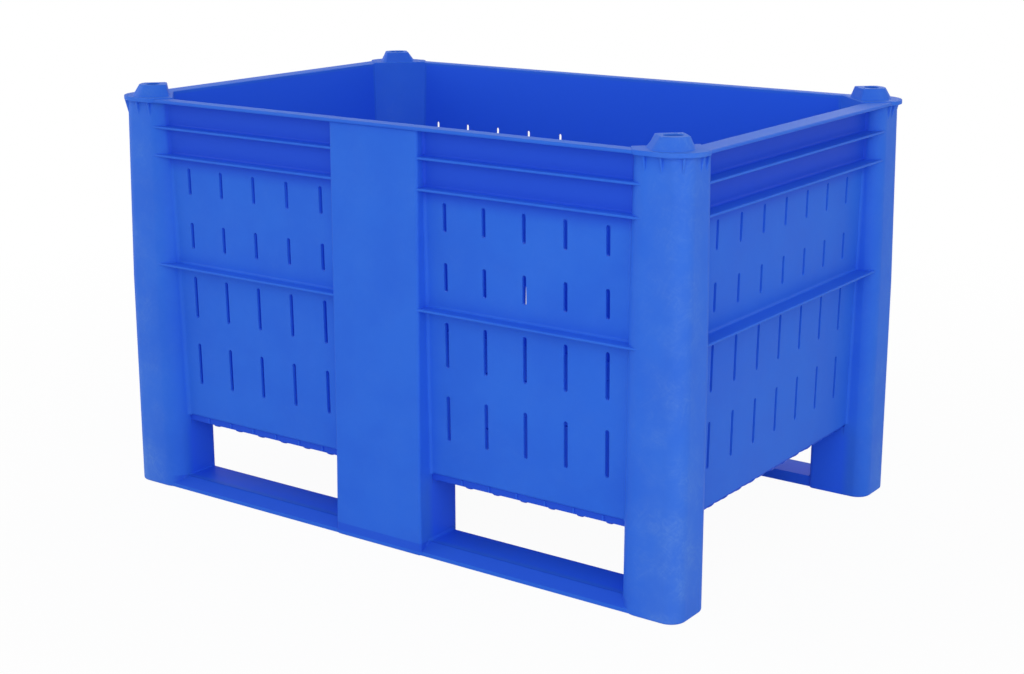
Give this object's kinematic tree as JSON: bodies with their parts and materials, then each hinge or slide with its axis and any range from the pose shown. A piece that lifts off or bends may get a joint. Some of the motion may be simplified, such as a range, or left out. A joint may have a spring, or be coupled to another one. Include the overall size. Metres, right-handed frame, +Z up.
{
  "type": "pallet box",
  "caption": "Rigid blue plastic pallet box with vented ribbed walls, hollow corner and centre posts, a flanged rim with stacking studs, and skids under the long sides.",
  "frame": {"origin": "on the ground under the middle of the box: bottom centre of the bounding box", "axes": "+X along the long side, +Y along the short side towards the rear, +Z up"},
  "size_m": [1.2, 0.8, 0.755],
  "materials": {
    "blue_hdpe": "satin"
  },
  "bodies": {
    "root": {"floor_deck": "blue_hdpe", "front_wall": "blue_hdpe", "rear_wall": "blue_hdpe", "left_end_wall": "blue_hdpe", "right_end_wall": "blue_hdpe", "front_centre_post": "blue_hdpe", "rear_centre_post": "blue_hdpe", "front_centre_leg": "blue_hdpe", "rear_centre_leg": "blue_hdpe", "front_rim": "blue_hdpe", "rear_rim": "blue_hdpe", "left_rim": "blue_hdpe", "right_rim": "blue_hdpe", "front_left_corner_panel": "blue_hdpe", "front_left_corner_post": "blue_hdpe", "front_left_corner_cap": "blue_hdpe", "front_left_leg": "blue_hdpe", "front_left_skid": "blue_hdpe", "front_right_corner_panel": "blue_hdpe", "front_right_corner_post": "blue_hdpe", "front_right_corner_cap": "blue_hdpe", "front_right_leg": "blue_hdpe", "front_right_skid": "blue_hdpe", "rear_left_corner_panel": "blue_hdpe", "rear_left_corner_post": "blue_hdpe", "rear_left_corner_cap": "blue_hdpe", "rear_left_leg": "blue_hdpe", "rear_left_skid": "blue_hdpe", "rear_right_corner_panel": "blue_hdpe", "rear_right_corner_post": "blue_hdpe", "rear_right_corner_cap": "blue_hdpe", "rear_right_leg": "blue_hdpe", "rear_right_skid": "blue_hdpe"}
  },
  "joints": []
}
